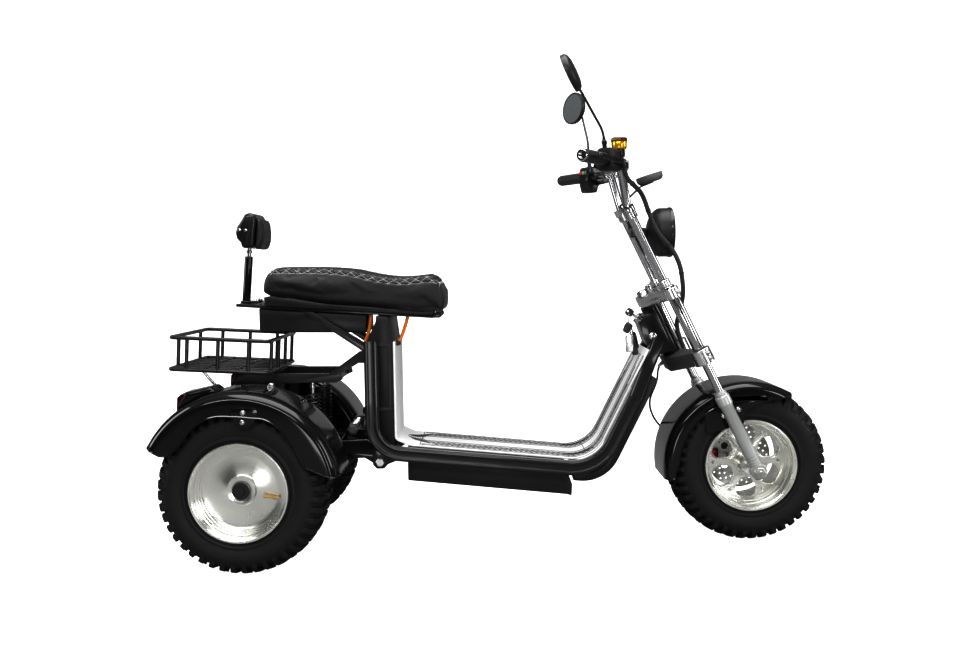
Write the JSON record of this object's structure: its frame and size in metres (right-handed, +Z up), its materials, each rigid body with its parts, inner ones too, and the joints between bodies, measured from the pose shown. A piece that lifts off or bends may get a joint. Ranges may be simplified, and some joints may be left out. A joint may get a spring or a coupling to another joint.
{
  "type": "electric tricycle",
  "caption": "Electric tricycle: low step-through frame, long upholstered seat with a small backrest, rear basket, fenders, raked fork and wide tyres.",
  "frame": {"origin": "on the ground under the middle of the vehicle's box, halfway between the axles and on the centre plane", "axes": "+X forward, +Y to the rider's left, +Z up"},
  "size_m": [1.844, 0.7788, 1.3454],
  "materials": {
    "tyre": "matt black rubber",
    "polished_rim": "polished, slightly warm",
    "brake_steel": "brushed",
    "zinc_steel": "bright zinc",
    "fork_grey": "satin grey",
    "chrome": "mirror bright",
    "bright_aluminium": "satin",
    "gloss_black": "high gloss",
    "black_plastic": "satin",
    "gloss_black_plastic": "gloss",
    "clear_lens": "clear",
    "silver_deck": "satin silver",
    "black_leather": "soft sheen",
    "grip_rubber": "matt",
    "cast_aluminium": "as cast",
    "red_lens": "gloss",
    "orange_lead": "satin",
    "cable_rubber": "matt"
  },
  "bodies": {
    "chassis": {"stay_rods": "chrome", "foot_pegs": "chrome", "ignition_lock": "chrome", "rear_fender_left": "gloss_black", "rear_fender_right": "gloss_black", "side_rail_left": "gloss_black", "side_rail_right": "gloss_black", "neck": "gloss_black", "rear_subframe": "gloss_black", "swingarm": "gloss_black", "basket": "gloss_black", "basket_mount": "gloss_black", "seat_frame": "gloss_black", "backrest_post": "gloss_black", "rear_axle": "gloss_black", "belly_panel": "black_plastic", "battery_box": "black_plastic", "seat_tower": "black_plastic", "under_seat_box": "black_plastic", "backrest_shell": "gloss_black_plastic", "footboard": "silver_deck", "backrest_pad": "black_leather", "rear_calipers": "cast_aluminium", "drive_unit": "cast_aluminium", "tail_lights": "red_lens", "seat_lead_front": "orange_lead", "seat_lead_rear": "orange_lead"},
    "steering": {"lower_yoke": "fork_grey", "upper_yoke": "bright_aluminium", "fork_tubes": "chrome", "fork_sliders": "fork_grey", "front_axle": "zinc_steel", "bar_clamp": "chrome", "handlebar": "chrome", "grips": "grip_rubber", "switch_housings": "black_plastic", "brake_levers": "gloss_black_plastic", "mirrors": "gloss_black_plastic", "headlight": "gloss_black_plastic", "headlight_lens": "clear_lens", "display": "black_plastic", "front_fender": "gloss_black", "front_caliper": "cast_aluminium", "brake_hose": "cable_rubber", "control_loom": "cable_rubber"},
    "seat": {"seat_base": "black_plastic", "seat_cushion": "black_leather"},
    "front_wheel": {"front_tyre": "tyre", "front_rim": "polished_rim", "front_brake_disc": "brake_steel"},
    "rear_wheel_left": {"rear_tyre_left": "tyre", "rear_rim_left": "polished_rim"},
    "rear_wheel_right": {"rear_tyre_right": "tyre", "rear_rim_right": "polished_rim"}
  },
  "joints": [
    {"name": "steering_turn", "type": "hinge", "parent": "chassis", "child": "steering", "pos_m": [0.6474, 0, 0.2035], "axis": [-0.4305, 0, 0.9026], "range_deg": [-34, 34]},
    {"name": "front_wheel_spin", "type": "hinge", "parent": "steering", "child": "front_wheel", "pos_m": [0.6925, 0, 0.225], "axis": [0, 1, 0], "continuous": true},
    {"name": "rear_wheel_left_spin", "type": "hinge", "parent": "chassis", "child": "rear_wheel_left", "pos_m": [-0.6925, 0.2665, 0.225], "axis": [0, 1, 0], "continuous": true},
    {"name": "rear_wheel_right_spin", "type": "hinge", "parent": "chassis", "child": "rear_wheel_right", "pos_m": [-0.6925, -0.2665, 0.225], "axis": [0, 1, 0], "continuous": true},
    {"name": "seat_tilt", "type": "hinge", "parent": "chassis", "child": "seat", "pos_m": [-0.1845, 0, 0.664], "axis": [0, 1, 0], "range_deg": [0, 70]}
  ]
}
